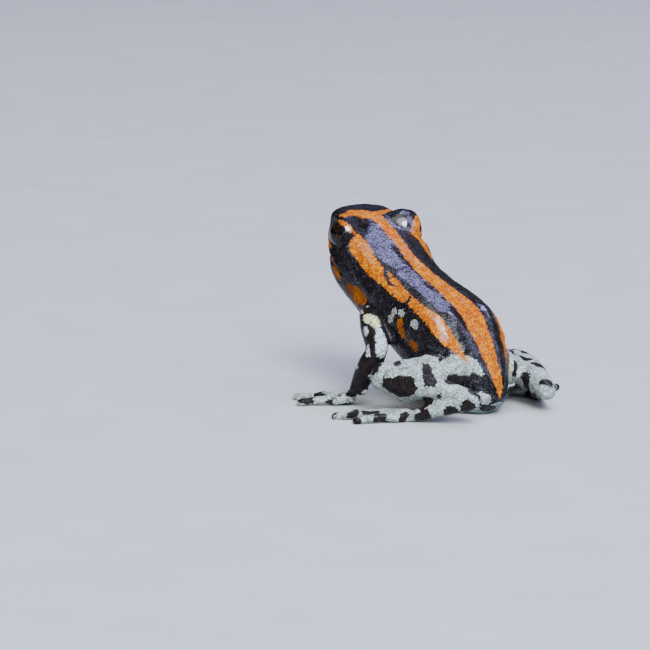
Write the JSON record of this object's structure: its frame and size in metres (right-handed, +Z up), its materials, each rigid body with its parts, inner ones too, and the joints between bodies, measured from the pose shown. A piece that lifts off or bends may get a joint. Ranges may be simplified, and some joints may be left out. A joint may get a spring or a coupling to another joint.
{
  "type": "sira poison frog",
  "caption": "Life-size still model of a small striped poison frog sitting upright: head raised on straight forelegs, hind legs folded at its sides.",
  "frame": {"origin": "on the floor, under the middle of the frog's bounding box", "axes": "the frog faces -Y, its left side is +X, +Z is up"},
  "size_m": [0.0164, 0.0162, 0.0108],
  "materials": {
    "skin": "wet, finely granular, black with orange stripes and spotted pale limbs",
    "eye": "wet gloss"
  },
  "bodies": {
    "root": {"head": "skin", "lower_jaw": "skin", "torso": "skin", "rump": "skin", "upper_arm_left": "skin", "forearm_left": "skin", "hand_left": "skin", "thigh_left": "skin", "shank_left": "skin", "tarsus_left": "skin", "foot_left": "skin", "upper_arm_right": "skin", "forearm_right": "skin", "hand_right": "skin", "thigh_right": "skin", "shank_right": "skin", "tarsus_right": "skin", "foot_right": "skin", "eye_left": "eye", "eye_right": "eye"}
  },
  "joints": []
}
